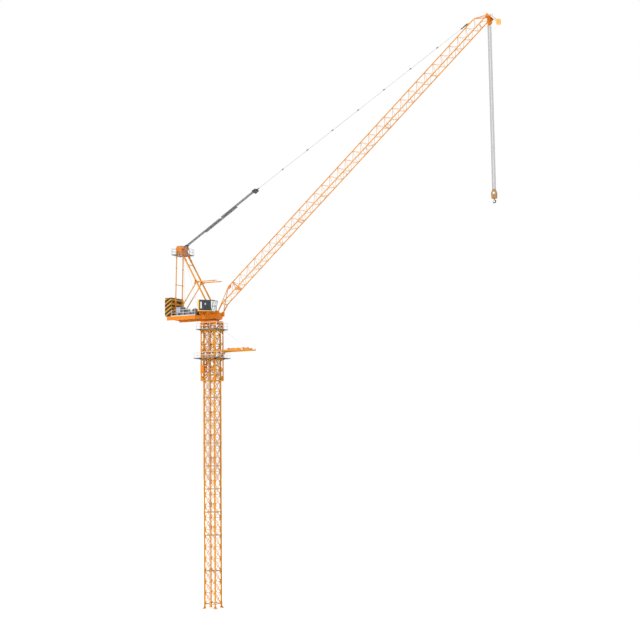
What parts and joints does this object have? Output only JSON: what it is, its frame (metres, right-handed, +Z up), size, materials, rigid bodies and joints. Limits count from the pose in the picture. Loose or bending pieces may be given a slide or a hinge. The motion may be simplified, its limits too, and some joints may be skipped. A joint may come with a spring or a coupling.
{
  "type": "luffing-jib tower crane, 1:10 scale model",
  "caption": "Luffing-jib tower crane at one tenth scale: lattice mast with climbing cage, slewing counter-deck with cab and A-frame, luffing lattice jib and hanging hook.",
  "frame": {"origin": "on the mast axis, in the plane of the undersides of the four feet", "axes": "+Z up along the mast, +X under the jib when the slewing joint is at rest, +Y away from the cab side"},
  "size_m": [6.282, 0.53, 9.832],
  "materials": {
    "orange_paint": "gloss paint",
    "deep_orange_paint": "gloss paint",
    "amber_paint": "gloss paint",
    "weight_paint": "matt paint with dark hazard bands",
    "galvanised": "galvanised",
    "grey_grating": "galvanised grating",
    "machine_grey": "satin paint",
    "cab_slate": "satin paint",
    "cab_skid": "satin paint",
    "cab_glass": "tinted",
    "ram_red": "gloss paint",
    "wire_rope": "greased wire",
    "pendant_steel": "galvanised",
    "block_dark": "satin paint",
    "block_brown": "satin paint",
    "hook_black": "forged, blackened",
    "sheave_grey": "machined"
  },
  "bodies": {
    "mast": {"base_feet": "orange_paint", "mast_legs": "orange_paint", "mast_lattice_front": "orange_paint", "mast_lattice_rear": "orange_paint", "mast_lattice_near": "orange_paint", "mast_lattice_far": "orange_paint", "mast_landings": "grey_grating", "mast_ladder": "galvanised", "cage_posts": "orange_paint", "cage_frame_near": "orange_paint", "cage_frame_far": "orange_paint", "cage_frame_rear": "orange_paint", "cage_frame_front": "orange_paint", "cage_platforms": "grey_grating", "cage_railings": "galvanised", "climbing_cylinder": "ram_red", "cage_power_pack": "deep_orange_paint", "introduction_rails": "orange_paint", "introduction_stays": "galvanised", "turntable_lower": "deep_orange_paint"},
    "trolley": {"introduction_trolley": "deep_orange_paint"},
    "upperworks": {"turntable_upper": "deep_orange_paint", "jib_pivot_block": "deep_orange_paint", "deck_frame": "deep_orange_paint", "deck_plates": "grey_grating", "deck_railings": "galvanised", "counterweights": "weight_paint", "winch_frames": "machine_grey", "winch_motors": "machine_grey", "cab_shell": "cab_slate", "cab_glass": "cab_glass", "cab_base": "cab_skid", "aframe_front_legs": "orange_paint", "aframe_head": "deep_orange_paint", "aframe_sheaves": "deep_orange_paint", "aframe_rear_ties": "orange_paint", "aframe_struts": "orange_paint", "jib_backstops": "orange_paint", "aframe_platform": "grey_grating"},
    "hoist_winch": {"hoist_drum": "sheave_grey"},
    "luffing_winch": {"luffing_drum": "sheave_grey"},
    "jib": {"jib_bottom_chords": "orange_paint", "jib_top_chord": "orange_paint", "jib_foot": "orange_paint", "jib_lacing_bottom": "orange_paint", "jib_lacing_near": "orange_paint", "jib_lacing_far": "orange_paint", "jib_head": "deep_orange_paint", "jib_head_sheave": "sheave_grey", "tip_handrail": "galvanised", "jib_tip_box": "amber_paint"},
    "pendants": {"pendant_bars": "pendant_steel"},
    "luffing_rope_top": {"luffing_ropes_upper": "wire_rope"},
    "luffing_rope_mid": {"luffing_ropes_middle": "wire_rope"},
    "luffing_rope_low": {"luffing_ropes_lower": "wire_rope", "floating_block": "block_dark"},
    "hoist_fall": {"hoist_ropes": "wire_rope", "hook_block": "block_brown"},
    "hook": {"load_hook": "hook_black"}
  },
  "joints": [
    {"name": "slew", "type": "hinge", "parent": "mast", "child": "upperworks", "pos_m": [0, 0, 5.02], "axis": [0, 0, 1], "continuous": true},
    {"name": "trolley_travel", "type": "slide", "parent": "mast", "child": "trolley", "axis": [1, 0, 0], "range_m": [-0.22, 0.04]},
    {"name": "hoist_drum_spin", "type": "hinge", "parent": "upperworks", "child": "hoist_winch", "pos_m": [-0.315, 0, 5.19], "axis": [0, 1, 0], "continuous": true},
    {"name": "luffing_drum_spin", "type": "hinge", "parent": "upperworks", "child": "luffing_winch", "pos_m": [-0.535, 0, 5.186], "axis": [0, 1, 0], "continuous": true},
    {"name": "jib_luff", "type": "hinge", "parent": "upperworks", "child": "jib", "pos_m": [0.18, 0, 5.155], "axis": [0, -1, 0], "range_deg": [-26, 30]},
    {"name": "pendant_swing", "type": "hinge", "parent": "jib", "child": "pendants", "pos_m": [4.86523, 0, 9.63847], "axis": [0, -1, 0], "range_deg": [-4.6, 5.3]},
    {"name": "luffing_rope_swing", "type": "hinge", "parent": "upperworks", "child": "luffing_rope_top", "pos_m": [-0.545, 0, 6.372], "axis": [0, -1, 0], "range_deg": [-16.5, 19]},
    {"name": "luffing_rope_mid_slide", "type": "slide", "parent": "luffing_rope_top", "child": "luffing_rope_mid", "axis": [0.8509, 0, 0.5254], "range_m": [-0.375, 0.325]},
    {"name": "luffing_rope_low_slide", "type": "slide", "parent": "luffing_rope_top", "child": "luffing_rope_low", "axis": [0.8509, 0, 0.5254], "range_m": [-0.735, 0.64]},
    {"name": "hook_hang", "type": "hinge", "parent": "jib", "child": "hoist_fall", "pos_m": [5.24782, 0, 9.5926], "axis": [0, -1, 0], "range_deg": [-31, 27]},
    {"name": "hook_swivel", "type": "hinge", "parent": "hoist_fall", "child": "hook", "pos_m": [5.24782, 0, 6.69], "axis": [0, 0, 1], "continuous": true}
  ],
  "couplings": [
    {"joint": "pendant_swing", "follows": "jib_luff", "ratio": 0.1595},
    {"joint": "luffing_rope_swing", "follows": "jib_luff", "ratio": 0.5998},
    {"joint": "luffing_rope_mid_slide", "follows": "jib_luff", "m_per_rad": -0.6913},
    {"joint": "luffing_rope_low_slide", "follows": "jib_luff", "m_per_rad": -1.3826},
    {"joint": "hook_hang", "follows": "jib_luff", "ratio": -1}
  ]
}
